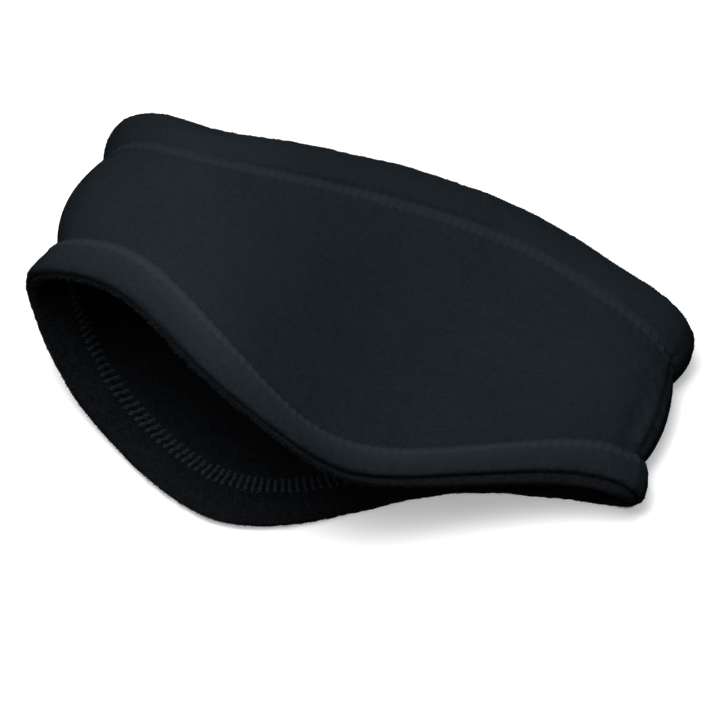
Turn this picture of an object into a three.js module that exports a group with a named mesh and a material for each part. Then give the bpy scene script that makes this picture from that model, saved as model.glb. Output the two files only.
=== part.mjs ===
// Fleece headband: two rings of fleece, a shell and a lining, turned and stitched at both edges.
// It lies on its side on a flat surface: +X runs along the folded loop towards the back seam,
// +Y from the neck edge to the crown edge, +Z up. Millimetres.

import * as THREE from 'three';

// Driving dimensions
const HEM_WIDTH = 15;           // stitch row to the edge of the band
const PARTING = 0.3;            // gap between the two layers
const PANEL_LAYER = 1.9;        // thickness of one layer over the panel
const LINING_PEEK = 1.5;        // how far the lining stands out past the edge of the shell
const PEEK_FADES = 6;           // how far in from the edge that ends
const SEAM_STATION = 8.5;       // where the back seam runs, counted in stations
const SEAM_REACH = 0.36;        // half the width that the seam pulls in, in stations
const SEAM_LINE = 0.25;         // share of that reach taken by the seam line itself
const SEAM_DEPTH = 0.7;         // how deep the seam line lies in the shell
const SEAM_WELT = 0.35;         // how far the fleece swells beside the seam line
const MIDDLE_X = 1.57;          // middle of the loop along X, as the stations count it
const MIDDLE_Y = -10.41;        // middle of the loop along Y, as the stations count it

// Fineness of the surface
const STEPS_PER_STATION = 5;                            // columns of points from station to station
const SEAM_COLUMNS = [-1, -0.5, -0.25, 0, 0.25, 0.5, 1]; // columns at the seam, as shares of its reach
const PANEL_SHARES = [0.3, 0.5, 0.7];                   // rows of points between the ends of the panel
const SPLINE_ROUNDS = 40;                               // rounds in which the spline settles
const LOOK_AHEAD = 0.05;                                // stations to each side that give the way along

// Half way between the layers, on the two stitch rows, once round the loop: over the upper wall
// from the front fold to the back fold, and back along the lower wall. Tilt is how far a hem turns
// outwards from the panel, in degrees, and crown how far the panel swells between the rows.
const STATION_COLUMNS = [
  'place', 'lowX', 'lowY', 'lowZ', 'topX', 'topY', 'topZ', 'lowTilt', 'topTilt', 'crown',
];
const STATION_ROWS = [
  ['front fold', -98, -23, 40, -95, 11, 41, 24, 28, 5],
  ['upper front', -92, -29, 67, -88, 15, 68, 8, 2, 4],
  ['upper front crest', -68, -35, 80, -64, 11, 78, -10, -12, 2],
  ['upper front of ear', -38, -50, 78, -40, 15, 74, -14, -4, 2],
  ['upper ear', -8, -61, 58, -10, 29, 58, 16, -4, 0],
  ['upper back of ear', 17, -58, 39, 19, 38, 45, 22, -8, -2],
  ['upper nape', 46, -42, 27, 48, 41, 35, 22, -14, -1],
  ['upper back', 78, -25, 22.5, 78, 34, 29, 14, -14, 1],
  ['upper back shoulder', 98.3, -18.2, 17.3, 99, 26, 22, 14, 0, 1.5],
  ['back fold', 104.5, -16.5, 9, 105, 21, 10, 13, 12, 2.5],
  ['lower back', 95, -16, 2.3, 96, 20, 2.3, 3, 3, 0.5],
  ['lower nape', 68, -21, 1.8, 68, 26, 1.8, 0, 0, 0],
  ['lower back of ear', 36, -33, 1.8, 36, 34, 1.8, 0, 0, 0],
  ['lower ear', 5, -53, 1.8, 4, 34, 1.8, 0, 0, 0],
  ['lower front of ear', -26, -62, 1.8, -26, 18, 1.8, 0, 0, 0],
  ['lower front', -57, -52, 3, -56, 4, 2.6, 0, 0, 0],
  ['lower front rise', -84, -35, 13, -81, 2, 12, 12, 8, 2],
];

// One layer cut across, from the edge of the band inwards: how far in, and how far its two faces
// stand off the parting. The edge is a soft roll, and the stitch row pulls the layer thin.
const LAYER_COLUMNS = ['inFromEdge', 'standOff'];
const FACE_ROWS = [
  [0, 1.35],
  [0.5, 2.15],
  [1.8, 2.6],
  [6, 2.9],
  [11, 2.4],
  [14, 1.6],
  [15, 1.4],
  [17, 1.65],
  [22, 1.9],
];
const BACK_ROWS = [
  [15, 0],
  [2, 0],
  [0.5, 0.55],
];

// Turns rows of bare values into objects with named columns.
function named(columns, rows) {
  return rows.map((row) => Object.fromEntries(columns.map((column, i) => [column, row[i]])));
}

const stations = named(STATION_COLUMNS, STATION_ROWS);
const faceRows = named(LAYER_COLUMNS, FACE_ROWS);
const backRows = named(LAYER_COLUMNS, BACK_ROWS);

// Control values of the closed cubic spline that passes through one column of the stations.
function splineThrough(column) {
  const values = stations.map((station) => station[column]);
  const count = values.length;
  let control = values;
  for (let round = 0; round < SPLINE_ROUNDS; round += 1) {
    control = control.map((value, i) => {
      const before = control[(i + count - 1) % count];
      const after = control[(i + 1) % count];
      return value + values[i] - (before + 4 * value + after) / 6;
    });
  }
  return control;
}

const splines = Object.fromEntries(
  STATION_COLUMNS.slice(1).map((column) => [column, splineThrough(column)]),
);

// Value of one column at a place round the loop, counted in stations.
function valueAt(column, place) {
  const control = splines[column];
  const count = control.length;
  const first = Math.floor(place);
  const f = place - first;
  const weights = [
    (1 - f) ** 3,
    3 * f ** 3 - 6 * f ** 2 + 4,
    -3 * f ** 3 + 3 * f ** 2 + 3 * f + 1,
    f ** 3,
  ];
  return weights.reduce((sum, weight, i) => {
    const value = control[(first + i - 1 + count) % count];
    return sum + (weight * value) / 6;
  }, 0);
}

function rowPoint(row, place) {
  return new THREE.Vector3(
    valueAt(`${row}X`, place) - MIDDLE_X,
    valueAt(`${row}Y`, place) - MIDDLE_Y,
    valueAt(`${row}Z`, place),
  );
}

// The two stitch rows, the way across the band and the way out of the loop at one place.
function sectionAt(place) {
  const low = rowPoint('low', place);
  const top = rowPoint('top', place);
  const ahead = rowPoint('low', place + LOOK_AHEAD).add(rowPoint('top', place + LOOK_AHEAD));
  const behind = rowPoint('low', place - LOOK_AHEAD).add(rowPoint('top', place - LOOK_AHEAD));
  const along = ahead.sub(behind).normalize();
  const across = top.clone().sub(low).normalize();
  const outward = along.clone().cross(across).normalize();
  return { place, low, top, across, outward };
}

// A point half way between the layers on the panel, at a share of the way from row to row.
function panelPoint(section, share) {
  const swell = valueAt('crown', section.place) * Math.sin(Math.PI * share);
  return section.low.clone().lerp(section.top, share).addScaledVector(section.outward, swell);
}

// A point half way between the layers: `inFromEdge` from the neck edge, or from the crown edge.
function partingPoint(section, edge, inFromEdge) {
  const isLow = edge === 'low';
  if (inFromEdge >= HEM_WIDTH) {
    const share = (inFromEdge - HEM_WIDTH) / section.top.distanceTo(section.low);
    return panelPoint(section, isLow ? share : 1 - share);
  }
  const row = isLow ? section.low : section.top;
  const beyond = isLow ? section.across.clone().negate() : section.across;
  const tilt = THREE.MathUtils.degToRad(valueAt(`${edge}Tilt`, section.place));
  const length = HEM_WIDTH - inFromEdge;
  return row.clone()
    .addScaledVector(beyond, length * Math.cos(tilt))
    .addScaledVector(section.outward, length * Math.sin(tilt));
}

// How far the back seam moves the outer face of the shell at a place round the loop.
function seamRelief(place) {
  const off = Math.abs(place - SEAM_STATION) / SEAM_REACH;
  if (off >= 1) {
    return 0;
  }
  const welt = SEAM_WELT * Math.sin(Math.PI * off) ** 2;
  const line = SEAM_DEPTH * Math.max(0, 1 - off / SEAM_LINE);
  return welt - line;
}

// Places round the loop that get a column of points, closer together at the back seam.
function columnPlaces() {
  const places = SEAM_COLUMNS.map((share) => SEAM_STATION + share * SEAM_REACH);
  for (let i = 0; i < stations.length * STEPS_PER_STATION; i += 1) {
    const place = i / STEPS_PER_STATION;
    if (Math.abs(place - SEAM_STATION) > SEAM_REACH) {
      places.push(place);
    }
  }
  return places.sort((a, b) => a - b);
}

// The closed outline of one layer at one place, as points on the parting with their stand-off.
// It runs over the face from the neck edge to the crown edge, and back along the parting.
function layerOutline(section, peek) {
  const half = PARTING / 2;
  const hemEntry = (edge) => (row) => {
    const inFromEdge = row.inFromEdge - peek * Math.max(0, 1 - row.inFromEdge / PEEK_FADES);
    return { point: partingPoint(section, edge, inFromEdge), standOff: row.standOff + half };
  };
  const panelEntry = (thickness) => (share) => (
    { point: panelPoint(section, share), standOff: thickness + half }
  );
  const face = [
    ...faceRows.map(hemEntry('low')),
    ...PANEL_SHARES.map(panelEntry(PANEL_LAYER)),
    ...faceRows.map(hemEntry('top')).reverse(),
  ];
  const back = [
    ...backRows.map(hemEntry('top')).reverse(),
    ...PANEL_SHARES.map(panelEntry(0)).reverse(),
    ...backRows.map(hemEntry('low')),
  ];
  return { face, back };
}

// A closed ring wall. `side` is 1 for the shell, outside the parting, and -1 for the lining.
// No cloth reaches below the surface that the headband lies on.
function layerGeometry(side) {
  const isShell = side > 0;
  const sections = columnPlaces().map(sectionAt);
  const positions = [];
  const place = (section, entry, relief) => {
    const standOff = side * (entry.standOff + relief);
    const point = entry.point.clone().addScaledVector(section.outward, standOff);
    positions.push(point.x, point.y, Math.max(point.z, 0));
  };
  sections.forEach((section) => {
    const { face, back } = layerOutline(section, isShell ? 0 : LINING_PEEK);
    const relief = isShell ? seamRelief(section.place) : 0;
    face.forEach((entry) => place(section, entry, relief));
    back.forEach((entry) => place(section, entry, 0));
  });
  const columns = sections.length;
  const rows = positions.length / 3 / columns;
  const indices = [];
  for (let i = 0; i < columns; i += 1) {
    const next = (i + 1) % columns;
    for (let j = 0; j < rows; j += 1) {
      const up = (j + 1) % rows;
      const [a, b, c, d] = [i * rows + j, next * rows + j, next * rows + up, i * rows + up];
      indices.push(...(isShell ? [a, b, c, a, c, d] : [a, c, b, a, d, c]));
    }
  }
  const geometry = new THREE.BufferGeometry();
  geometry.setAttribute('position', new THREE.Float32BufferAttribute(positions, 3));
  geometry.setIndex(indices);
  geometry.computeVertexNormals();
  return geometry;
}

function layerMesh(name, side, color) {
  const material = new THREE.MeshStandardMaterial({ color, roughness: 0.95, metalness: 0 });
  const mesh = new THREE.Mesh(layerGeometry(side), material);
  mesh.name = name;
  return mesh;
}

const headband = new THREE.Group();
headband.add(layerMesh('outer_shell', 1, 0x23292c));
headband.add(layerMesh('inner_lining', -1, 0x16181b));

export default headband;
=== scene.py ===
# %% [markdown]
# # A fleece headband, lying on its side
# The real one is two rings of brushed fleece, a shell outside and a lining inside. They are sewn
# together along the neck edge and the crown edge, turned, and stitched again about 15 mm from each
# edge, so that each edge becomes a soft, puffy hem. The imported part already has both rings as
# plain faceted solids. This script puts a fine surface, threads and nap in the same place.

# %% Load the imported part
from collections import namedtuple

import bpy
import numpy as np
from mathutils import Matrix, Vector


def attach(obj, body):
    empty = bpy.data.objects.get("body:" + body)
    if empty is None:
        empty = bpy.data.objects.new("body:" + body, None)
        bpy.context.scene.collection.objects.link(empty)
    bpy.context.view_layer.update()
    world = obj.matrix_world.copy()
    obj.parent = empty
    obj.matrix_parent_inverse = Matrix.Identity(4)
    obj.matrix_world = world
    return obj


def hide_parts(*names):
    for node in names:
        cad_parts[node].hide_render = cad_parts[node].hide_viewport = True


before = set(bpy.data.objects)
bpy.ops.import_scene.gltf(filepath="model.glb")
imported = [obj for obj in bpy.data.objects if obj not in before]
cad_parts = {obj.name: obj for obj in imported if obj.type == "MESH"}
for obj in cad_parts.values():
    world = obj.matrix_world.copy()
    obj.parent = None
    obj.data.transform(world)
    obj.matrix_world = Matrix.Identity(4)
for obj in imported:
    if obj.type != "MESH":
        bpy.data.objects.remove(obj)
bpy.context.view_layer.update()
print("packed nodes:", sorted(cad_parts))

# %% [markdown]
# ## The loop
# A band that lies on its side keeps a few firm facts: where its two stitch rows run. So the loop is
# a short table of places, each with a point on the neck row and a point on the crown row, and a
# closed cubic spline joins them. A hand-drawn mesh could do it too, but a table keeps the fine
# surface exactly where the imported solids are.

# %% Stations round the loop, in millimetres and degrees
MM = 0.001
MIDDLE = np.array([1.57, -10.41, 0.0])  # middle of the loop, as the stations count it

# Each row: neck row x, y, z, crown row x, y, z, tilt of the neck hem and of the crown hem, and how
# far the panel swells between the rows.
STATIONS = {
    "front fold": (-98, -23, 40, -95, 11, 41, 24, 28, 5),
    "upper front": (-92, -29, 67, -88, 15, 68, 8, 2, 4),
    "upper front crest": (-68, -35, 80, -64, 11, 78, -10, -12, 2),
    "upper front of ear": (-38, -50, 78, -40, 15, 74, -14, -4, 2),
    "upper ear": (-8, -61, 58, -10, 29, 58, 16, -4, 0),
    "upper back of ear": (17, -58, 39, 19, 38, 45, 22, -8, -2),
    "upper nape": (46, -42, 27, 48, 41, 35, 22, -14, -1),
    "upper back": (78, -25, 22.5, 78, 34, 29, 14, -14, 1),
    "upper back shoulder": (98.3, -18.2, 17.3, 99, 26, 22, 14, 0, 1.5),
    "back fold": (104.5, -16.5, 9, 105, 21, 10, 13, 12, 2.5),
    "lower back": (95, -16, 2.3, 96, 20, 2.3, 3, 3, 0.5),
    "lower nape": (68, -21, 1.8, 68, 26, 1.8, 0, 0, 0),
    "lower back of ear": (36, -33, 1.8, 36, 34, 1.8, 0, 0, 0),
    "lower ear": (5, -53, 1.8, 4, 34, 1.8, 0, 0, 0),
    "lower front of ear": (-26, -62, 1.8, -26, 18, 1.8, 0, 0, 0),
    "lower front": (-57, -52, 3, -56, 4, 2.6, 0, 0, 0),
    "lower front rise": (-84, -35, 13, -81, 2, 12, 12, 8, 2),
}
NECK_ROW, CROWN_ROW, TILTS, SWELL = slice(0, 3), slice(3, 6), slice(6, 8), 8
print(len(STATIONS), "stations")

# %% The closed spline through the stations
def closed_spline(values):
    """Control values of the closed cubic spline: each value is (before + 4 times own + after) / 6."""
    own = np.eye(len(values))
    mix = (4 * own + np.roll(own, 1, axis=1) + np.roll(own, -1, axis=1)) / 6
    return np.linalg.solve(mix, values)


CONTROL = closed_spline(np.array(list(STATIONS.values()), float))


def at_place(place):
    """Every column at places counted in stations: the four nearest controls, in cubic shares."""
    first = np.floor(place).astype(int)
    f = (place - first)[..., None]
    shares = ((1 - f) ** 3, 3 * f**3 - 6 * f**2 + 4, -3 * f**3 + 3 * f**2 + 3 * f + 1, f**3)
    return sum(w * CONTROL[(first + i - 1) % len(CONTROL)] for i, w in enumerate(shares)) / 6


# %% A section across the band
LOOK_AHEAD = 0.05       # stations to each side that give the way along
Section = namedtuple("Section", "neck crown across out tilts swell height")


def unit(v):
    """Vectors divided by their length."""
    return v / np.linalg.norm(v, axis=-1, keepdims=True)


def section(place):
    """The two stitch rows at each place, and the ways across the band and out of the loop there.

    Out is the way along, from just behind to just ahead, crossed with the way across.
    """
    row = at_place(place)
    step = at_place(place + LOOK_AHEAD) - at_place(place - LOOK_AHEAD)
    neck = row[..., NECK_ROW] - MIDDLE
    crown = row[..., CROWN_ROW] - MIDDLE
    across = unit(crown - neck)
    out = unit(np.cross(step[..., NECK_ROW] + step[..., CROWN_ROW], across))
    height = np.linalg.norm(crown - neck, axis=-1)
    return Section(neck, crown, across, out, np.radians(row[..., TILTS]), row[..., SWELL], height)


print("a section holds:", ", ".join(Section._fields))

# %% Lengths round the loop
STITCH_LENGTH = 3.35    # needle hole to needle hole, as near as whole stitches allow
FINE_STEPS = 400        # short steps from station to station
FINE_PLACES = np.linspace(0, len(STATIONS), len(STATIONS) * FINE_STEPS + 1)


def grown_length(points):
    """Length from the first point along a line of points: the sum of the short steps so far."""
    return np.concatenate([[0], np.cumsum(np.linalg.norm(np.diff(points, axis=0), axis=1))])


def middle_line(place):
    """Points half way between the two stitch rows."""
    row = at_place(place)
    return (row[:, NECK_ROW] + row[:, CROWN_ROW]) / 2


FINE_AROUND = grown_length(middle_line(FINE_PLACES))
LOOP_LENGTH = FINE_AROUND[-1]
STITCHES = round(LOOP_LENGTH / STITCH_LENGTH)


def place_of(around):
    """The place that lies so many millimetres round the middle of the band."""
    return np.interp(around % LOOP_LENGTH, FINE_AROUND, FINE_PLACES)


print(f"the middle of the band is {LOOP_LENGTH:.0f} mm round and has {STITCHES} stitches")

# %% [markdown]
# ## One layer, cut across
# Fleece has no sharp edge. Cut across, a layer is a long flat loop: full in the hem, pinched where
# the stitches pull it in, level over the panel, and closed by a half round roll at each edge. Bevel
# and Solidify can round a sheet, but they can't pinch it, so the loop is drawn as distances in from
# the edge with the height of the face above the parting between the layers.

# %% The parting between the layers
PARTING = 0.3           # gap between the two layers
HEM_WIDTH = 15.0        # stitch row to the edge of the band


def parting(place, reach):
    """Points half way between the layers, reach mm from the neck edge over the band.

    Between the rows the point is a share of the way across, swelled by the sine of that share.
    Past a row it runs straight on, turned out of the panel by that hem's tilt.
    """
    at = section(place)
    share = np.clip((reach - HEM_WIDTH) / at.height, 0, 1)[..., None]
    past_neck = np.maximum(HEM_WIDTH - reach, 0)[..., None]
    past_crown = np.maximum(reach - HEM_WIDTH - at.height, 0)[..., None]
    neck_tilt, crown_tilt = at.tilts[..., 0:1], at.tilts[..., 1:2]
    swell = at.swell[..., None] * np.sin(np.pi * share)
    point = at.neck + share * (at.crown - at.neck) + swell * at.out
    point = point + past_neck * (at.out * np.sin(neck_tilt) - at.across * np.cos(neck_tilt))
    return point + past_crown * (at.out * np.sin(crown_tilt) + at.across * np.cos(crown_tilt))


# %% The height of a layer's face
# In from the edge, and height of the face above the parting side, both in millimetres.
FACE_IN = (0.0, 0.5, 1.8, 4.0, 6.5, 9.0, 11.5, 13.0, 14.3, 15.0, 17.0, 22.0)
FACE_RISE = (1.2, 1.7, 2.45, 3.15, 3.5, 3.45, 3.1, 2.85, 2.4, 1.45, 1.55, 1.85)
FACE_EASE = 0.5         # to each side, over which the corners of that line are rounded


def face_rise(inward):
    """Height of the face: the table's straight lines, averaged at five spots across the ease."""
    taps = np.linspace(-FACE_EASE, FACE_EASE, 5)
    return np.mean([np.interp(np.abs(inward + tap), FACE_IN, FACE_RISE) for tap in taps], axis=0)


print("a hem's face stands", face_rise(np.array([6.0]))[0].round(2), "mm above the parting")

# %% Where the rows of the outline fall, in from the edge
ROLL = 2.8              # end of the half round edge
NEEDLE_NECK = 10.4      # needle line of the neck hem: the stitched band lies on the hem
CREASE = HEM_WIDTH      # the stitch row, where the hem meets the panel
NEEDLE_CROWN = 18.8     # needle line at the crown: the stitched band lies on the panel
MARGIN = 24.0           # end of the rows that are counted from the edge
HEM_STOPS = (ROLL, NEEDLE_NECK, CREASE, NEEDLE_CROWN, MARGIN)
HEM_PARTS = (9, 6, 8, 5)                    # rows from stop to stop
PANEL_ROWS = 58
BACK_IN = (4.0, 8.0, 12.0, 15.0, 18.0)      # rows of the parting side, which stays hidden
BACK_PANEL_ROWS = 6
HALF_ROLL_ROWS = 5      # rows from either side of the roll to its tip
ROLL_BACK = 0.2         # how far in the roll goes on the parting side, as a share of the face side

# %% The closed outline of a layer
def outline(skew):
    """Rows of the closed outline: which edge, how far in, how high, and whether on the face.

    Edge is -1 at the neck, 1 at the crown and 0 over the panel, where the distance is a share of the
    way from margin to margin. The roll at each edge is half an ellipse, squashed on the parting side,
    where the two layers press on each other. A skew above 1 brings its tip nearer to the parting.
    """
    tip = HALF_ROLL_ROWS
    turn = np.linspace(0, np.pi, 2 * tip + 1)
    roll_in = np.where(turn < np.pi / 2, ROLL_BACK, 1) * ROLL * (1 - np.sin(turn))
    roll_rise = face_rise(ROLL) * ((1 - np.cos(turn)) / 2) ** skew
    spans = zip(HEM_STOPS[:-1], HEM_STOPS[1:], HEM_PARTS)
    inner = np.concatenate([np.linspace(low, high, n, endpoint=False) for low, high, n in spans])[1:]
    wide = np.array(BACK_IN)
    shares = np.linspace(0, 1, PANEL_ROWS)
    wide_shares = np.linspace(0, 1, BACK_PANEL_ROWS + 2)[1:-1]
    face_in = np.concatenate([roll_in[tip:], inner])
    face_up = np.concatenate([roll_rise[tip:], face_rise(inner)])
    back_in = np.concatenate([roll_in[tip - 1::-1], wide])
    back_up = np.concatenate([roll_rise[tip - 1::-1], 0 * wide])
    rows = [
        (-1, face_in, face_up, 1),
        (0, shares, 0 * shares + face_rise(MARGIN), 1),
        (1, face_in[::-1], face_up[::-1], 1),
        (1, back_in, back_up, 0),
        (0, wide_shares[::-1], 0 * wide_shares, 0),
        (-1, back_in[::-1], back_up[::-1], 0),
    ]
    edge = np.concatenate([np.full(len(r[1]), r[0]) for r in rows])
    face = np.concatenate([np.full(len(r[1]), r[3]) for r in rows])
    return edge, np.concatenate([r[1] for r in rows]), np.concatenate([r[2] for r in rows]), face


print("rows in the outline of a layer:", len(outline(1.0)[0]))

# %% [markdown]
# ## Relief
# What makes cloth look like cloth is small: lumps in the pile, pulls at each needle hole, a seam
# that draws the fleece in. These are heights added along the surface's own normals. Noise textures
# could displace the mesh instead, but worked out here the same heights serve skin and threads.

# %% Lumps
# Whole numbers that scatter the corners of a lattice, so that each gets a value that looks random.
AXIS_STRIDES = np.array([73856093, 19349663, 83492791])
SEED_STRIDE, KEY_STRIDE, KEY_START, KEY_DROP, LEVELS = 2654435, 1103515245, 12345, 9, 65536


def lumps(points, size, seed):
    """Smooth noise from -1 to 1 with lumps about size mm wide.

    Random values sit on the corners of a cubic lattice, and each point blends its eight corners.
    """
    cell = np.floor(points / size).astype(np.int64)
    f = points / size - cell
    f = f * f * (3 - 2 * f)
    total = np.zeros(points.shape[:-1])
    for corner in np.ndindex(2, 2, 2):
        key = (cell + corner) @ AXIS_STRIDES + seed * SEED_STRIDE
        level = ((key * KEY_STRIDE + KEY_START) >> KEY_DROP) % LEVELS
        value = level / ((LEVELS - 1) / 2) - 1
        total += value * np.prod(np.where(corner, f, 1 - f), axis=-1)
    return total


# %% Hills and patches
def hill(distance, width):
    """A bell of height 1 that falls off over width."""
    return np.exp(-((distance / width) ** 2))


def patch(place, share, spot):
    """1 at a spot on the cloth, fading all round it: one hill round the loop times one over the band.

    A spot is a place and a length in stations, then a share of the height and a width in shares.
    """
    centre, length, middle, width = spot
    return hill(place - centre, length) * hill(share - middle, width)


# %% The stitched band
# Depths, and widths across the row, in millimetres. Places and lengths round the loop in stations.
STITCH_PITCH = LOOP_LENGTH / STITCHES
CREASE_DEPTH, CREASE_WIDTH = 0.34, 0.8
NECK_SCALLOP, CROWN_SCALLOP = 0.45, 0.35        # how far the crease swings between two stitches
DIMPLE_DEPTH, DIMPLE_WIDTH = 0.1, 0.7           # half the depth at a hole of the needle line
RIDGE_RISE, RIDGE_BEAT, RIDGE_WIDTH = 0.12, 0.1, 1.7
GATHER_PLACE, GATHER_LENGTH, GATHER_MORE = 7.7, 0.9, 0.9        # ridges grow near the back seam
PINCH_PLACE, PINCH_LENGTH, PINCH_DEPTH = 9.0, 0.7, 0.45         # the back fold closes on the row
PINCH_IN, PINCH_WIDTH = 0.3, 1.8


def beat(around):
    """-1 at each needle hole, 1 half way to the next."""
    return -np.cos(2 * np.pi * around / STITCH_PITCH)


def stitch_pull(around, place, from_edge, at_crown):
    """How far the threads pull the face down, and how far the fleece between them swells.

    A crease on the stitch row, scalloped by the stitches, a dimple at each hole of the other line,
    and between the two a ridge for each stitch.
    """
    wave = beat(around)
    line = np.where(at_crown, NEEDLE_CROWN, NEEDLE_NECK)
    scallop = np.where(at_crown, CROWN_SCALLOP, NECK_SCALLOP) * wave
    gathered = 1 + GATHER_MORE * hill(place - GATHER_PLACE, GATHER_LENGTH)
    crease = -CREASE_DEPTH * hill(from_edge - CREASE - scallop, CREASE_WIDTH)
    folded = hill(place - PINCH_PLACE, PINCH_LENGTH)
    pinch = -PINCH_DEPTH * folded * hill(from_edge - CREASE - PINCH_IN, PINCH_WIDTH)
    dimple = -DIMPLE_DEPTH * (1 - wave) * hill(from_edge - line, DIMPLE_WIDTH)
    between = np.sqrt(hill(from_edge - (line + CREASE) / 2, RIDGE_WIDTH))
    return crease + pinch + dimple + (RIDGE_RISE + RIDGE_BEAT * wave) * gathered * between


print(f"{STITCHES} stitches of {STITCH_PITCH:.2f} mm")

# %% The back seam
SEAM_PLACE = 8.5        # where the back seam runs, counted in stations
SEAM_REACH = 0.36       # half the width that the seam pulls in, in stations
SEAM_LINE = 0.22        # share of that reach taken by the groove
GROOVE_DEPTH = {1: 0.45, -1: 0.3}       # mm, in the shell (1) and in the lining (-1)
WELT_SHARE = {1: 0.4, -1: 0.2}          # how much of the welt, puckers and fold each layer takes
WELT_RISE, PUCKER_RISE, FOLD_DEPTH = 0.4, 1.3, 3.0                      # mm
PUCKER_SIZE, PUCKER_STRETCH, PUCKER_SEED = 2.2, np.array([0.6, 1.0, 0.8]), 5
PUCKER_SPOT = (8.2, 0.45, 0.42, 0.35)
FOLD_SPOT = (8.05, 0.22, 0.36, 0.22)
HEM_GROOVE, GROOVE_FROM, GROOVE_GROWS = 0.15, 12.0, 4.0     # share left over a hem, and mm in


def seam_pull(side, place, share, from_edge, points):
    """A groove on the seam, a low welt beside it, puckers that run into it, and one soft fold.

    Over the hems, where more layers lie, the groove is shallow. The fold is on the neck half.
    """
    off = np.abs(place - SEAM_PLACE) / SEAM_REACH
    beside = WELT_RISE * np.where(off < 1, np.sin(np.pi * np.clip(off, 0, 1)) ** 2, 0)
    wrinkle = lumps(points * PUCKER_STRETCH, PUCKER_SIZE, PUCKER_SEED)
    puckers = PUCKER_RISE * wrinkle * patch(place, share, PUCKER_SPOT)
    fold = -FOLD_DEPTH * patch(place, share, FOLD_SPOT)
    inward = np.clip((from_edge - GROOVE_FROM) / GROOVE_GROWS, 0, 1)
    groove = (HEM_GROOVE + (1 - HEM_GROOVE) * inward) * hill(off, SEAM_LINE)
    return WELT_SHARE[side] * (beside + puckers + fold) - GROOVE_DEPTH[side] * groove


# %% Lumps of cloth and of pile
# Each row: height in mm over the panel, more of it in a hem, more at the lip, size in mm, and seed.
SOFT_LUMPS = ((0.35, 0, 0, 26.0, 1), (0, 0.28, 0, 9.0, 2))
PILE_LUMPS = ((0.06, 0.07, 0, 1.8, 3), (0, 0, 0.16, 2.4, 4), (0.03, 0.07, 0.05, 1.3, 6))
LINING_TUFTS = ((0, 0, 0.3, 1.5, 7),)
LIP_WIDTH, HEM_GROWS = 2.6, 4.0


def lumpy(table, points, from_edge):
    """The lumps of a table, one row on another, each as high as its row says at that distance in."""
    in_hem = np.clip((NEEDLE_NECK - from_edge) / HEM_GROWS, 0, 1)
    at_lip = hill(from_edge, LIP_WIDTH)
    return sum(
        (panel + hem * in_hem + lip * at_lip) * lumps(points, size, seed)
        for panel, hem, lip, size, seed in table
    )


# %% Relief of one layer
LINING_SOFT, LINING_PILE = 0.6, 3.0             # the lining's swells and pile, against the shell's
DIP_DEPTH, DIP_WIDTH = 0.3, 3.4                 # under the ladder of thread
DENT_PLACE, DENT_LENGTH, DENT_DEPTH = 5.1, 0.9, 1.6             # on the ear
PRESS_PLACE, PRESS_LENGTH, PRESS_WIDTH = 0.3, 0.8, 6.0          # hems pressed flat at the front
CROWN_PRESS, CROWN_PRESS_IN, NECK_PRESS, NECK_PRESS_IN = 1.8, 6.0, 0.8, 7.0
FILL_PLACE, FILL_LENGTH, FILL_RISE, FILL_IN = 2.05, 0.55, 0.9, 5.0  # crown hem, full again behind


def cloth_relief(side, place, around, reach, whole, points):
    """Height of a face above its smooth outline: threads and seam, soft swells, pile lumps.

    The lining is brushed harder, so its pile is lumpier, and its stitch row is only a shallow dip
    under the ladder of thread. The shell has a dent on the ear, hems pressed flat at the front fold,
    and a fuller crown hem just behind it.
    """
    from_edge = np.minimum(reach, whole - reach)
    share = np.clip(reach / whole, 0, 1)
    soft = lumpy(SOFT_LUMPS, points, from_edge)
    pile = lumpy(PILE_LUMPS, points, from_edge)
    seam = seam_pull(side, place, share, from_edge, points)
    if side < 0:
        tufts = lumpy(LINING_TUFTS, points, from_edge)
        dip = -DIP_DEPTH * hill(from_edge - CREASE, DIP_WIDTH)
        return soft * LINING_SOFT + pile * LINING_PILE + tufts + dip + seam
    dent = -DENT_DEPTH * hill(place - DENT_PLACE, DENT_LENGTH) * np.sin(np.pi * share) ** 2
    half = len(STATIONS) / 2
    past_fold = (place - PRESS_PLACE + half) % len(STATIONS) - half
    hems = CROWN_PRESS * hill(whole - reach - CROWN_PRESS_IN, PRESS_WIDTH)
    hems = hems + NECK_PRESS * hill(reach - NECK_PRESS_IN, PRESS_WIDTH)
    fill = FILL_RISE * hill(place - FILL_PLACE, FILL_LENGTH)
    full = fill * hill(whole - reach - FILL_IN, PRESS_WIDTH) - hems * hill(past_fold, PRESS_LENGTH)
    return soft + pile + dent + full + stitch_pull(around, place, from_edge, reach > whole / 2) + seam


# %% [markdown]
# ## The mesh of a wall
# A wall is a grid: columns round the loop, rows along the outline of a layer. Both ways close, so
# the result is one closed skin with no poles. Four columns to a stitch put one on every needle
# hole, so that even small puckers come out clean. The UV map holds millimetres along the loop and
# over the band, so that a pattern can follow the cloth.

# %% Grid to mesh
def normals_of(points, side):
    """Unit normals of a closed grid: the step round the loop crossed with the step along the outline."""
    around = np.roll(points, -1, axis=0) - np.roll(points, 1, axis=0)
    over = np.roll(points, -1, axis=1) - np.roll(points, 1, axis=1)
    return side * unit(np.cross(around, over))


def grid_quads(columns, rows, side):
    """Corner numbers of the quads of a grid that closes both ways, wound so that they face out."""
    i, j = np.meshgrid(np.arange(columns), np.arange(rows), indexing="ij")
    ahead, above = (i + 1) % columns, (j + 1) % rows
    quads = np.stack([i * rows + j, ahead * rows + j, ahead * rows + above, i * rows + above], axis=-1)
    return quads.reshape(-1, 4)[:, :: side]


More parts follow.
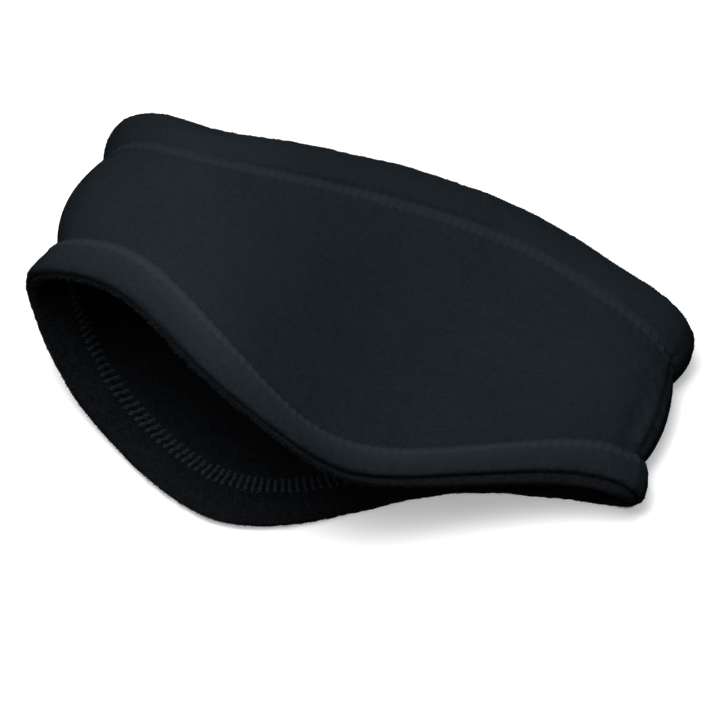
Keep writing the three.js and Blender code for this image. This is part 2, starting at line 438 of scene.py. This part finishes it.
def mesh_piece(name, points, faces, uv=None):
    """An object from points in mm and faces with equal numbers of corners, smooth all over."""
    mesh = bpy.data.meshes.new(name)
    mesh.vertices.add(len(points))
    mesh.vertices.foreach_set("co", (points * MM).astype(np.float32).ravel())
    mesh.loops.add(faces.size)
    mesh.loops.foreach_set("vertex_index", faces.astype(np.int32).ravel())
    mesh.polygons.add(len(faces))
    mesh.polygons.foreach_set("loop_start", np.arange(0, faces.size, faces.shape[1], dtype=np.int32))
    mesh.polygons.foreach_set("use_smooth", np.ones(len(faces), bool))
    if uv is not None:
        layer = mesh.uv_layers.new(name="cloth")
        layer.data.foreach_set("uv", (uv * MM).astype(np.float32).ravel())
    mesh.update(calc_edges=True)
    mesh.validate()
    piece = bpy.data.objects.new(name, mesh)
    bpy.context.scene.collection.objects.link(piece)
    print(name, len(points), "points,", int((faces.shape[1] - 2) * len(faces)), "triangles")
    return piece


# %% The grid of one layer
# How far the lining stands out past the shell: at its crown edge, and at its neck edge by station,
# where it is tucked in at the front and out at the nape.
CROWN_PEEK = 1.5
PEEK_PLACES = (0, 3.5, 6, 8, 9.5, 10.5, 12.5, 14, 15.5, 17)
NECK_PEEKS = (0.4, 0.5, 4.8, 4.8, 1.4, 0.3, 0.4, 2.0, 1.0, 0.4)
PEEK_FADES = 6.0                # how far in from the edge that ends
LIP_SKEW = {1: 1.6, -1: 0.65}   # the shell's lip turns in to the parting, the lining's stands off it
FLOOR_CLEAR = 0.02              # the cloth that lies on the surface is this far above it
THINNEST = 0.45                 # a pull never leaves a layer thinner than this,
PULLED_RISE = 1.0               # wherever its face stands higher than this
COLUMNS_A_STITCH = 4


def layer_grid(side):
    """Everything about one layer's grid: points, normals, and the numbers that patterns use.

    Points are the parting plus the height of the outline along the way out, which the shell takes
    outwards (side 1) and the lining inwards (side -1). The relief follows the normals.
    """
    columns = STITCHES * COLUMNS_A_STITCH
    edge, inward, rise, face = outline(LIP_SKEW[side])
    around = np.repeat((np.arange(columns) * LOOP_LENGTH / columns)[:, None], len(edge), axis=1)
    place = place_of(around)
    at = section(place[:, 0])
    whole = at.height[:, None] + 2 * HEM_WIDTH
    peek = np.where(edge < 0, np.interp(place, PEEK_PLACES, NECK_PEEKS), CROWN_PEEK)
    peek = (side < 0) * peek * np.clip(1 - inward / PEEK_FADES, 0, 1)
    near_edge = np.where(edge < 0, inward - peek, whole - inward + peek)
    reach = np.where(edge == 0, MARGIN + inward * (whole - 2 * MARGIN), near_edge)
    points = parting(place, reach) + side * (rise[None, :, None] + PARTING / 2) * at.out[:, None, :]
    relief = cloth_relief(side, place, around, reach, whole, points)
    relief = face * np.where(rise > PULLED_RISE, np.maximum(relief, THINNEST - rise), relief)
    points = points + relief[..., None] * normals_of(points, side)
    points[..., 2] = np.maximum(points[..., 2], FLOOR_CLEAR)
    return {
        "side": side, "points": points, "normals": normals_of(points, side), "around": around,
        "place": place, "reach": reach, "whole": whole, "face": face,
        "from_edge": np.minimum(reach, whole - reach),
    }


shell_grid = layer_grid(1)
lining_grid = layer_grid(-1)
print("columns and rows:", shell_grid["around"].shape)

# %% Numbers that the materials read
NAPE_DRAG, NAPE_SPOT = 0.8, (6.3, 1.3, 0.32, 0.2)       # strength, and spot, of fine drag lines
SEAM_SPOT = (SEAM_PLACE, 0.5, 0.35, 0.3)
# Painted shade at the needle holes and along the crease beside them: how dark, and how wide.
HOLE_SHADE, CREASE_SHADE, HOLE_WIDTH, AT_HOLE = 0.3, 0.2, 0.3, -0.9
BAND_EASE = 0.5                                         # mm over which the stitched band begins
HEM_LEAST, HEM_PLACE, HEM_LENGTH = 0.3, 4.8, 2.2        # the neck hem's painted highlight is strongest on the ear
HEM_MIDDLE, HEM_HALF, HEM_EASE = 11.0, 5.0, 0.4         # mm in from the edge


def needle_line(grid):
    """How far in from the edge the needle line of the nearer hem lies."""
    return np.where(grid["reach"] > grid["whole"] / 2, NEEDLE_CROWN, NEEDLE_NECK)


def drag_amount(grid):
    """Where the cloth shows fine drag lines: over the neck half of the nape, and beside the seam."""
    share = grid["reach"] / grid["whole"]
    nape = NAPE_DRAG * patch(grid["place"], share, NAPE_SPOT)
    return np.clip(nape + patch(grid["place"], share, SEAM_SPOT), 0, 1)


def painted_hole_shade_amount(grid):
    """Painted shade in the needle holes: most on the grid points that lie on a needle hole, along the
    needle line and the crease, outside only.
    """
    on_line = HOLE_SHADE * hill(grid["from_edge"] - needle_line(grid), HOLE_WIDTH)
    on_crease = CREASE_SHADE * hill(grid["from_edge"] - CREASE, HOLE_WIDTH)
    return (grid["side"] > 0) * (beat(grid["around"]) < AT_HOLE) * (on_line + on_crease)


def band_highlight_amount(grid):
    """1 between the crease and the needle line, outside only: a painted highlight on the stitched band,
    where the thread presses the pile.
    """
    line = needle_line(grid)
    off = np.abs(grid["from_edge"] - (line + CREASE) / 2)
    return (grid["side"] > 0) * np.clip((np.abs(line - CREASE) / 2 - off) / BAND_EASE + 0.5, 0, 1)


def neck_hem_highlight_amount(grid):
    """Painted highlight on the neck hem, as far as it stands up to the light, outside only: most on the
    ear.
    """
    fullness = HEM_LEAST + (1 - HEM_LEAST) * hill(grid["place"] - HEM_PLACE, HEM_LENGTH)
    below_crease = np.clip((CREASE - grid["reach"]) / HEM_EASE, 0, 1)
    return (grid["side"] > 0) * fullness * below_crease * hill(grid["reach"] - HEM_MIDDLE, HEM_HALF)


def crown_hem_shade_amount(grid):
    """Painted shade on the crown hem: 1 on the hem, over a millimetre from nothing on the panel."""
    return np.clip(grid["reach"] - grid["whole"] + CREASE, 0, 1)


# %% The two skins
amounts = {
    "crown_hem_shade": crown_hem_shade_amount, "neck_hem_highlight": neck_hem_highlight_amount, "drag": drag_amount,
    "painted_hole_shade": painted_hole_shade_amount, "band": band_highlight_amount,
}


def layer_piece(name, grid):
    """The mesh of a layer, with its UV map and one stored number a point for each amount.

    A quad that spans the start of the loop takes the start as one whole loop on.
    """
    columns, rows = grid["around"].shape
    faces = grid_quads(columns, rows, grid["side"])
    u = grid["around"].ravel()[faces]
    u = np.where(u.max(axis=1, keepdims=True) - u > LOOP_LENGTH / 2, u + LOOP_LENGTH, u)
    uv = np.stack([u, grid["reach"].ravel()[faces]], axis=-1)
    piece = mesh_piece(name, grid["points"].reshape(-1, 3), faces, uv)
    for stored, amount in amounts.items():
        layer = piece.data.attributes.new(stored, "FLOAT", "POINT")
        layer.data.foreach_set("value", amount(grid).astype(np.float32).ravel())
    return piece


shell = layer_piece("shell_fleece_skin", shell_grid)
lining = layer_piece("lining_fleece_skin", lining_grid)

# %% [markdown]
# ## Threads
# A cover stitch holds each hem. Outside, its thread sinks in the pile, and what shows is one row of
# short strokes on each hem. Inside, a bulky looper thread crosses the row and comes back twisted
# round itself, so that the row looks like a ladder of small ropes. Both are tubes laid on the cloth,
# because bump alone leaves no shadow between rungs.

# %% Points on a layer's face
def on_face(side, around, inward, edge, above):
    """Points above a layer's face, inward mm from its neck edge (edge -1) or its crown edge (1)."""
    place = place_of(around)
    at = section(place)
    whole = at.height + 2 * HEM_WIDTH
    reach = np.where(edge < 0, inward, whole - inward)
    base = parting(place, reach) + side * (face_rise(inward) + PARTING / 2)[..., None] * at.out
    relief = cloth_relief(side, place, around, reach, whole, base)
    points = base + side * (relief + above)[..., None] * at.out
    points[..., 2] = np.maximum(points[..., 2], FLOOR_CLEAR)
    return points, side * at.out


def shear(around, edge):
    """How far along the loop one step straight across a stitch row leads, and its length.

    The columns of a wall don't always cross a row at a right angle. With c the cosine between row
    and column, a step of 1 across the row is 1 / sqrt(1 - c squared) along the column, less c times
    that along the row.
    """
    place = place_of(around)
    row = NECK_ROW if edge < 0 else CROWN_ROW
    along = unit(at_place(place + LOOK_AHEAD)[:, row] - at_place(place - LOOK_AHEAD)[:, row])
    cosine = -edge * np.sum(along * section(place).across, axis=-1)
    length = 1 / np.sqrt(1 - cosine**2)
    return -cosine * length, length


# %% A thread along a closed path
def tube(name, path, up, radius, sides=5):
    """A closed tube: rings of points round the path, across it and up from the cloth.

    A ring point is the path plus radius times (cosine across + sine up). On the floor it is pressed
    flat.
    """
    along = unit(np.roll(path, -1, axis=0) - np.roll(path, 1, axis=0))
    across = unit(np.cross(along, up))
    lift = np.cross(across, along)
    turn = np.linspace(0, 2 * np.pi, sides, endpoint=False)[None, :, None]
    ring = np.cos(turn) * across[:, None] + np.sin(turn) * lift[:, None]
    points = path[:, None] + radius[:, None, None] * ring
    points[..., 2] = np.maximum(points[..., 2], FLOOR_CLEAR / 2)
    faces = grid_quads(len(path), sides, -1)
    return mesh_piece(name, points.reshape(-1, 3), faces)


# %% The ladder inside, in millimetres
RUNG_PITCH = 2.52       # rung to rung
RUNG_LENGTH = 8.2
RUNG_MIDDLE = 14.8      # in from the edge
RUNG_STEPS = 16         # points on each strand of a rung
RUNG_TWISTS = 2.25      # turns of the two strands round each other
RUNG_RAMP = 5           # a strand comes up out of the pile over one part in so many of the rung
RUNG_UNEVEN = 0.08      # spread of length, place and height from rung to rung
STRAND_SWING, STRAND_RISE = 0.42, 0.3           # half the twist's width, and half its height
STRAND_SUNK, STRAND_LIFT = 0.5, 0.45            # how deep its ends lie, and how far it comes up
STRAND_RADIUS, STRAND_FULLER = 0.32, 0.1        # at the ends, and how much fuller between them


def ladder(name, edge, side=-1):
    """The looper thread, as one path that crosses the row along one strand and returns along its twin.

    A strand's distance across grows evenly, and round the middle of the rung it follows a circle:
    cosine along the loop, sine up. The twin is half a turn on. At both ends they dip in the pile.
    """
    rungs = round(LOOP_LENGTH / RUNG_PITCH)
    step = np.arange(rungs * 2 * RUNG_STEPS)
    rung = step // (2 * RUNG_STEPS)
    phase = (step % (2 * RUNG_STEPS)) / RUNG_STEPS
    share = np.where(phase < 1, phase, 2 - phase)
    angle = 2 * np.pi * RUNG_TWISTS * share + np.pi * (phase < 1)
    rng = np.random.default_rng(21)
    uneven = rng.normal(0, RUNG_UNEVEN, (3, rungs))[:, rung]
    middle = (rung + 0.5) * LOOP_LENGTH / rungs
    along, length = shear(middle, edge)
    across = (share - 0.5) * RUNG_LENGTH * (1 + uneven[0])
    around = middle + along * across + STRAND_SWING * np.cos(angle) + uneven[1]
    raised = np.clip(RUNG_RAMP * np.minimum(share, 1 - share), 0, 1)
    above = raised * (STRAND_LIFT + STRAND_RISE * np.sin(angle)) - STRAND_SUNK + uneven[2] / 2
    path, up = on_face(side, around, RUNG_MIDDLE + across * length, edge, above)
    return tube(name, path, up, STRAND_RADIUS + STRAND_FULLER * raised)


# %% The cover thread outside, in millimetres
POINTS_A_STITCH = 12
STROKE_BOW, STROKE_LEAN = 0.15, 0.3     # how far along the loop a stroke bows, and leans at its ends
STROKE_SUNK = 0.45                      # how deep the thread runs from stroke to stroke
STROKE_PROUD = 0.8                      # how far a stroke stands up, in radii of the thread
STROKE_UNEVEN = 0.05                    # spread of that height from stitch to stitch


def cover_strokes(name, edge, inward, half, radius, side=1):
    """The cover thread of one hem: what shows of each stitch is one short stroke across the band.

    In the first half of a stitch the thread crosses the line, half mm to each side, bowed and
    raised by a sine. In the second half it runs on to the next stitch below the face.
    """
    step = np.arange(STITCHES * POINTS_A_STITCH)
    number = step // POINTS_A_STITCH
    phase = 2 * (step % POINTS_A_STITCH) / POINTS_A_STITCH
    shows = phase < 1
    swing = np.where(shows, np.sin(np.pi * phase), 0)
    across = np.where(shows, 2 * phase - 1, 3 - 2 * phase)
    ahead = STROKE_BOW * swing + STROKE_LEAN * across * shows
    around = (number + 0.5 + np.maximum(phase - 1, 0)) * STITCH_PITCH + ahead
    rng = np.random.default_rng(31)
    uneven = rng.normal(0, STROKE_UNEVEN, STITCHES)[number]
    above = (STROKE_SUNK + STROKE_PROUD * radius + uneven) * np.sqrt(swing) - STROKE_SUNK
    path, up = on_face(side, around, inward + half * across, edge, above)
    return tube(name, path, up, np.full(len(path), radius), sides=4)


# %% The threads, outside and inside
NECK_STROKES_IN = NEEDLE_NECK + 1.3             # a little nearer to the crease than the holes
CROWN_STROKES_IN = (NEEDLE_CROWN + CREASE) / 2  # the middle of the stitched band
outer_threads = [
    cover_strokes("outside_cover_stitch_neck", -1, NECK_STROKES_IN, half=1.5, radius=0.11),
    cover_strokes("outside_cover_stitch_crown", 1, CROWN_STROKES_IN, half=1.6, radius=0.1),
]
inner_threads = [ladder("inside_ladder_stitch_neck", -1), ladder("inside_ladder_stitch_crown", 1)]

# %% [markdown]
# ## Nap
# Brushing pulls fibre ends out of the knit, and they blur every edge of the band. Hair particles
# would be usual, but they leave no mesh. Here each tuft is a thin spike with three sides and a
# base, rooted in the face and leaning with the brushing.

# %% Scatter the nap, in millimetres
PANEL_NAP = 0.24                        # how dense the nap is over the panel, where 1 is at the lip
TRIES = 4                               # spots tried for each spike
LIP_ROWS = 3                            # rows beyond the face, round the neck lip, that have nap too
LAST_ROW = 0.999                        # and nearly all of the one row after the crown lip
LENGTH_LEAST, PANEL_LENGTH = 0.3, 0.5   # shortest spike, and length over the panel, as shares
THICK_LEAST, THICK_SPREAD = 0.06, 0.05
LEAN_LEAST, LEAN_SPREAD = 0.3, 1.1      # how far a tip leans, against standing up
ROOT_SUNK = 0.05
BASE_TURNS = (0.0, 2.094, 4.189)        # the three corners of a base, a third of a turn apart


def nap(name, grid, count, seed, lip, thickest, longest):
    """Closed spikes on a layer's face: three base points round a root, and a tip.

    Roots are random spots between grid points, on the face and round the lips. The tip is the root
    plus length times the normal tipped by a random sideways lean. Within lip mm of an edge they are
    denser, longer and thicker.
    """
    rng = np.random.default_rng(seed)
    points, normals = grid["points"], grid["normals"]
    columns, rows = points.shape[:2]
    tries = rng.random((count * TRIES, 3))
    i = (tries[:, 0] * columns).astype(int)
    row = tries[:, 1] * (int(grid["face"].sum()) + LIP_ROWS + LAST_ROW) + rows - LIP_ROWS
    j = row.astype(int) % rows
    edge_near = hill(grid["from_edge"][i, j], lip)
    kept = np.flatnonzero(tries[:, 2] < PANEL_NAP + (1 - PANEL_NAP) * edge_near)[:count]
    i, j, f = i[kept], j[kept], (row % 1)[kept][:, None]
    g = rng.random((len(kept), 1))
    ahead, above = (i + 1) % columns, (j + 1) % rows
    root = (1 - g) * ((1 - f) * points[i, j] + f * points[i, above])
    root = root + g * ((1 - f) * points[ahead, j] + f * points[ahead, above])
    up = normals[i, j]
    lean = unit(np.cross(up, rng.normal(size=up.shape)))
    side = np.cross(up, lean)
    near = edge_near[kept][:, None]
    length = longest * (LENGTH_LEAST + (1 - LENGTH_LEAST) * rng.random((len(kept), 1)))
    length = length * (PANEL_LENGTH + (1 - PANEL_LENGTH) * near)
    spread = THICK_SPREAD + (thickest - THICK_LEAST - THICK_SPREAD) * near**3
    thick = THICK_LEAST + spread * rng.random((len(kept), 1)) ** 2
    tip = root + length * unit(up + (LEAN_LEAST + LEAN_SPREAD * rng.random((len(kept), 1))) * lean)
    corners = [
        root + thick * (np.cos(turn) * lean + np.sin(turn) * side) - ROOT_SUNK * up
        for turn in BASE_TURNS
    ]
    corners = np.stack(corners + [tip], axis=1)
    corners[..., 2] = np.maximum(corners[..., 2], FLOOR_CLEAR / 2)
    start = np.arange(len(kept))[:, None] * 4
    shape = np.array([(0, 1, 3), (1, 2, 3), (2, 0, 3), (0, 2, 1)])
    faces = (start[..., None] + shape).reshape(-1, 3)
    return mesh_piece(name, corners.reshape(-1, 3), faces)


shell_nap = nap("shell_fleece_nap", shell_grid, 46000, seed=11, lip=3.0, thickest=0.12, longest=0.95)
lining_nap = nap("lining_fleece_nap", lining_grid, 48000, seed=12, lip=4.5, thickest=0.28, longest=1.3)

# %% [markdown]
# ## Finishes
# Everything here is polyester. Brushed fleece scatters light in all directions, with a faint sheen
# where fibre ends are seen edge on, and dyed near black it is never quite even. Principled BSDF
# with sheen gives that, with pile as bump and a slight mottle in the colour.

# %% Node helpers
def linear(hex_colour):
    """An sRGB hex colour as linear red, green, blue and alpha."""
    srgb = np.array([int(hex_colour[i:i + 2], 16) / 255 for i in (1, 3, 5)])
    value = np.where(srgb <= 0.04045, srgb / 12.92, ((srgb + 0.055) / 1.055) ** 2.4)
    return (*value.tolist(), 1.0)


def add(tree, kind, inputs=None, **settings):
    """Adds a node. Each input is a value, or a socket to link from."""
    node = tree.nodes.new(kind)
    for key, value in settings.items():
        setattr(node, key, value)
    for key, value in (inputs or {}).items():
        if isinstance(value, bpy.types.NodeSocket):
            tree.links.new(value, node.inputs[key])
        else:
            node.inputs[key].default_value = value
    return node


def new_material(name):
    """An empty node material with its output."""
    material = bpy.data.materials.new(name)
    material.use_nodes = True
    material.node_tree.nodes.clear()
    return material, material.node_tree, add(material.node_tree, "ShaderNodeOutputMaterial")


def per_mm(size):
    """The scale at which a pattern repeats every size mm, for coordinates in metres."""
    return 1 / (size * MM)


MIX_FROM, MIX_TO, MIX_RESULT = 6, 7, 2      # the colour sockets of a Mix node

# %% Brushed polyester fleece
# Sizes in millimetres.
PILE_TUFT = 0.45        # clumps of fibre ends, drawn a little coarser than real ones so that they show
LINING_TUFT = 0.7       # the lining is brushed harder
PILE_MOTTLE = 2.4       # patches where the pile lies another way
DYE_CLOUD = 22.0        # slow change of shade over the cloth
DRAG_LENGTH, DRAG_WIDTH = 7.0, 1.5
TUFT_BUMP, MOTTLE_BUMP, DRAG_BUMP = 0.22, 0.5, 1.8
# Shares.
MOTTLE_SHARE, CLOUD_SHARE = 0.25, 0.2               # of the shade, against the tufts
SHADE_FROM, SHADE_TO = 0.45, 1.0                    # of their sum, from dark to light
CROWN_TURN, HEM_TURN, BAND_TURN = 0.35, 0.7, 0.45   # share of painted shade on the crown hem, of painted highlight on the neck hem and band
# The colour of the painted shade in the needle holes.
HOLE_PAINTED_SHADE = "#06070a"
SHEEN_TINT = "#a8b6c0"


def brushed_fleece(name, dark, light, crown_painted_shade, hem_painted_highlight, sheen, tuft_size):
    """Matt near-black fleece.

    Its colour goes from dark to light by tuft noise with some mottle and dye cloud. On the crown hem it
    turns towards a painted shade, and where the neck hem or the stitched band stands up to the light
    towards a painted highlight; at needle holes and on the crease beside them it takes a painted
    shade. Its bump is tufts, mottle and drag lines along the UV map.
    """
    material, tree, out = new_material(name)
    coords = add(tree, "ShaderNodeTexCoord")
    tuft, mottle, cloud = [
        add(tree, "ShaderNodeTexNoise", {
            "Vector": coords.outputs["Object"], "Scale": per_mm(size), "Detail": detail,
        }).outputs["Fac"]
        for size, detail in ((tuft_size, 2.0), (PILE_MOTTLE, 3.0), (DYE_CLOUD, 2.0))
    ]
    crown_hem_shade, neck_hem_highlight, band, painted_hole_shade, drag = [
        add(tree, "ShaderNodeAttribute", attribute_name=stored).outputs["Fac"]
        for stored in ("crown_hem_shade", "neck_hem_highlight", "band", "painted_hole_shade", "drag")
    ]
    clouded = add(tree, "ShaderNodeMath", {0: cloud, 1: CLOUD_SHARE, 2: tuft}, operation="MULTIPLY_ADD")
    shade = add(tree, "ShaderNodeMath", {
        0: mottle, 1: MOTTLE_SHARE, 2: clouded.outputs[0],
    }, operation="MULTIPLY_ADD")
    spread = add(tree, "ShaderNodeMapRange", {
        "Value": shade.outputs[0], "From Min": SHADE_FROM, "From Max": SHADE_TO,
    })
    # Painted shade: the crown hem turns darker by this share.
    turned = add(tree, "ShaderNodeMath", {0: crown_hem_shade, 1: CROWN_TURN}, operation="MULTIPLY")
    # Painted highlight: the stitched band and the neck hem turn lighter, where they stand up to the
    # light.
    banded = add(tree, "ShaderNodeMath", {0: band, 1: BAND_TURN}, operation="MULTIPLY")
    raised = add(tree, "ShaderNodeMath", {
        0: neck_hem_highlight, 1: HEM_TURN, 2: banded.outputs[0],
    }, operation="MULTIPLY_ADD")
    turns = (
        (spread.outputs[0], light), (turned.outputs[0], crown_painted_shade), (raised.outputs[0], hem_painted_highlight),
        (painted_hole_shade, HOLE_PAINTED_SHADE),
    )
    colour = linear(dark)
    for factor, towards in turns:
        colour = add(tree, "ShaderNodeMix", {
            "Factor": factor, MIX_FROM: colour, MIX_TO: linear(towards),
        }, data_type="RGBA").outputs[MIX_RESULT]
    bump = add(tree, "ShaderNodeBump", {"Height": tuft, "Strength": 0.8, "Distance": TUFT_BUMP * MM})
    bump = add(tree, "ShaderNodeBump", {
        "Height": mottle, "Strength": 0.35, "Distance": MOTTLE_BUMP * MM, "Normal": bump.outputs[0],
    })
    stretch = add(tree, "ShaderNodeMapping", {
        "Vector": coords.outputs["UV"], "Scale": (per_mm(DRAG_LENGTH), per_mm(DRAG_WIDTH), 1.0),
    })
    lines = add(tree, "ShaderNodeTexNoise", {
        "Vector": stretch.outputs[0], "Scale": 1.0, "Detail": 3.0, "Distortion": 0.6,
    })
    broken = add(tree, "ShaderNodeMath", {0: drag, 1: cloud}, operation="MULTIPLY")
    drawn = add(tree, "ShaderNodeMath", {
        0: lines.outputs["Fac"], 1: broken.outputs[0],
    }, operation="MULTIPLY")
    bump = add(tree, "ShaderNodeBump", {
        "Height": drawn.outputs[0], "Strength": 0.9, "Distance": DRAG_BUMP * MM,
        "Normal": bump.outputs[0],
    })
    cloth = add(tree, "ShaderNodeBsdfPrincipled", {
        "Base Color": colour, "Roughness": 1.0, "Specular IOR Level": 0.0,
        "Sheen Weight": sheen, "Sheen Roughness": 0.6, "Sheen Tint": linear(SHEEN_TINT),
        "Normal": bump.outputs[0],
    })
    tree.links.new(cloth.outputs[0], out.inputs["Surface"])
    return material


# %% Fibre ends and sewing thread
FIBRE_BUMP = 0.1        # mm


def plain_fibre(name, dark, light, size, sheen):
    """Spun polyester as thread or loose ends: a matt fibre whose shade changes a little along it."""
    material, tree, out = new_material(name)
    where = add(tree, "ShaderNodeTexCoord").outputs["Object"]
    shade = add(tree, "ShaderNodeTexNoise", {"Vector": where, "Scale": per_mm(size), "Detail": 2.0})
    colour = add(tree, "ShaderNodeMix", {
        "Factor": shade.outputs["Fac"], MIX_FROM: linear(dark), MIX_TO: linear(light),
    }, data_type="RGBA")
    twist = add(tree, "ShaderNodeBump", {
        "Height": shade.outputs["Fac"], "Strength": 0.5, "Distance": FIBRE_BUMP * MM,
    })
    fibre = add(tree, "ShaderNodeBsdfPrincipled", {
        "Base Color": colour.outputs[MIX_RESULT], "Roughness": 0.9, "Specular IOR Level": 0.02,
        "Sheen Weight": sheen, "Sheen Roughness": 0.5, "Sheen Tint": linear(SHEEN_TINT),
        "Normal": twist.outputs[0],
    })
    tree.links.new(fibre.outputs[0], out.inputs["Surface"])
    return material


# %% One finish for each piece
# Each fleece gets a painted shade on its crown hem and a painted highlight on its neck hem and stitched
# band.
shell_finish = brushed_fleece(
    "black_polyester_fleece", "#101417", "#1d2327", crown_painted_shade="#171b1f", hem_painted_highlight="#22282c",
    sheen=0.004, tuft_size=PILE_TUFT,
)
# The lining and its fibre ends are given darker colours than the shell: a painted shade of the inside of
# the loop.
lining_finish = brushed_fleece(
    "black_lining_fleece_with_painted_shade", "#050607", "#17191c", crown_painted_shade="#0c0d0f", hem_painted_highlight="#17191c",
    sheen=0.002, tuft_size=LINING_TUFT,
)
shell_nap_finish = plain_fibre("brushed_shell_fibre_ends", "#15191d", "#1f2428", 1.5, 0.004)
lining_nap_finish = plain_fibre("brushed_lining_fibre_ends", "#040506", "#2c2f33", 1.0, 0.002)
needle_thread = plain_fibre("spun_polyester_cover_thread", "#1f252a", "#343b40", 0.5, 0.004)
looper_thread = plain_fibre("bulky_polyester_looper_thread", "#1b1e22", "#2c3136", 0.5, 0.004)
finishes = {
    shell_finish: [shell], lining_finish: [lining], shell_nap_finish: [shell_nap],
    lining_nap_finish: [lining_nap], needle_thread: outer_threads, looper_thread: inner_threads,
}
for finish, pieces in finishes.items():
    for piece in pieces:
        piece.data.materials.append(finish)
print(len(finishes), "finishes")

# %% [markdown]
# ## Ties to the imported part
# Every piece rides on the part's one body. The two skins stand for the two imported solids, which are
# hidden. Each was cut as a curved strip as long as the loop with 6 mm of seam at each end, and as
# high as the ear with 6 mm of seam at each edge.

slots = {
    "shell_fleece": [shell, shell_nap, *outer_threads],
    "lining_fleece": [lining, lining_nap, *inner_threads],
}
for slot, pieces in slots.items():
    for piece in pieces:
        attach(piece, "root")
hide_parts("outer_shell")
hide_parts("inner_lining")

# %% [markdown]
# ## Floor, light and camera
# The band lies on a pale board under a wide bright ceiling, which fades towards the horizon, with a
# soft box close above it. So the shade falls off slowly towards the lower back end and fast over
# the lips, and the inside of the loop, where little of the ceiling is seen, is almost black. The
# board glows faintly, as a light table does, so that the shadow under the band stays light.

# %% Floor
LIGHT_TABLE = 0.3       # brightness of the board itself, where full white is 1


def floor_piece(size=3.0):
    """A pale flat square, size metres wide, that throws no light back on the band."""
    half = size / 2 / MM
    corners = np.array([(-half, -half, 0), (half, -half, 0), (half, half, 0), (-half, half, 0)], float)
    floor = mesh_piece("pale_floor", corners, np.array([[0, 1, 2, 3]]))
    material, tree, out = new_material("pale_matt_board")
    board = add(tree, "ShaderNodeBsdfPrincipled", {
        "Base Color": linear("#f8f8f8"), "Roughness": 0.9,
        "Emission Color": linear("#ffffff"), "Emission Strength": LIGHT_TABLE,
    })
    tree.links.new(board.outputs[0], out.inputs["Surface"])
    floor.data.materials.append(material)
    floor.visible_diffuse = False


floor_piece()

# %% Lights
CEILING_TOWARDS = (-0.14, -0.20, 0.970)     # where the ceiling is brightest, seen from the band
CEILING_FOCUS = 5.0                         # how fast it fades away from there
CEILING_BRIGHT = 2.0
ROOM_LIGHT = 0.02                           # brightness all round
BOX_PLACE, BOX_AIM = (-0.05, -0.055, 0.45), (0, 0, 0.02)        # metres
BOX_SIZE, BOX_WATTS = 0.30, 2.25


def soft_box(name, place, aim, size, watts):
    """A square area light at a place in metres, turned to face the aim."""
    lamp = bpy.data.lights.new(name, "AREA")
    lamp.size = size
    lamp.energy = watts
    holder = bpy.data.objects.new(name, lamp)
    holder.location = place
    holder.rotation_mode = "QUATERNION"
    holder.rotation_quaternion = (Vector(aim) - Vector(place)).to_track_quat("-Z", "Y")
    bpy.context.scene.collection.objects.link(holder)


def ceiling():
    """A world whose brightness is a power of the cosine between a direction and the ceiling's."""
    world = bpy.data.worlds.new("studio_ceiling")
    world.use_nodes = True
    tree = world.node_tree
    toward = add(tree, "ShaderNodeTexCoord").outputs["Generated"]
    cosine = add(tree, "ShaderNodeVectorMath", {0: toward, 1: CEILING_TOWARDS}, operation="DOT_PRODUCT")
    ahead = add(tree, "ShaderNodeClamp", {"Value": cosine.outputs["Value"]})
    lobe = add(tree, "ShaderNodeMath", {0: ahead.outputs[0], 1: CEILING_FOCUS}, operation="POWER")
    strength = add(tree, "ShaderNodeMath", {
        0: lobe.outputs[0], 1: CEILING_BRIGHT, 2: ROOM_LIGHT,
    }, operation="MULTIPLY_ADD")
    tree.nodes["Background"].inputs["Color"].default_value = linear("#ffffff")
    tree.links.new(strength.outputs[0], tree.nodes["Background"].inputs["Strength"])
    bpy.context.scene.world = world


ceiling()
soft_box("overhead_box", BOX_PLACE, BOX_AIM, BOX_SIZE, BOX_WATTS)
bpy.context.scene.view_settings.view_transform = "Standard"

# %% Camera
CAMERA_TURN = 18.0          # degrees round from the neck side
CAMERA_RISE = 54.0          # degrees above the surface
CAMERA_AWAY = 1.1           # metres from what it looks at
CAMERA_AIM = (0.00103, 0.00241, 0.0139)
CAMERA_LENS, SENSOR = 159.5, 36.0       # millimetres


def place_camera():
    """A camera on the line that leaves the aim at the given turn and rise, level with the horizon."""
    turn, rise = np.radians([CAMERA_TURN, CAMERA_RISE])
    back = Vector((np.sin(turn) * np.cos(rise), -np.cos(turn) * np.cos(rise), np.sin(rise)))
    right = Vector((np.cos(turn), np.sin(turn), 0))
    up = back.cross(right)
    camera = bpy.data.objects.new("camera", bpy.data.cameras.new("camera"))
    camera.data.lens = CAMERA_LENS
    camera.data.sensor_width = SENSOR
    axes = Matrix((right, up, back)).transposed().to_4x4()
    camera.matrix_world = Matrix.Translation(Vector(CAMERA_AIM) + CAMERA_AWAY * back) @ axes
    bpy.context.scene.collection.objects.link(camera)
    bpy.context.scene.camera = camera
    return camera


print("camera at", [round(c, 3) for c in place_camera().matrix_world.translation])

# %% Sizes, and the end
added = [o for o in bpy.context.scene.objects if o.type == "MESH" and o.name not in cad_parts]
triangles = sum(sum(len(p.vertices) - 2 for p in o.data.polygons) for o in added)
print("triangles added:", triangles)
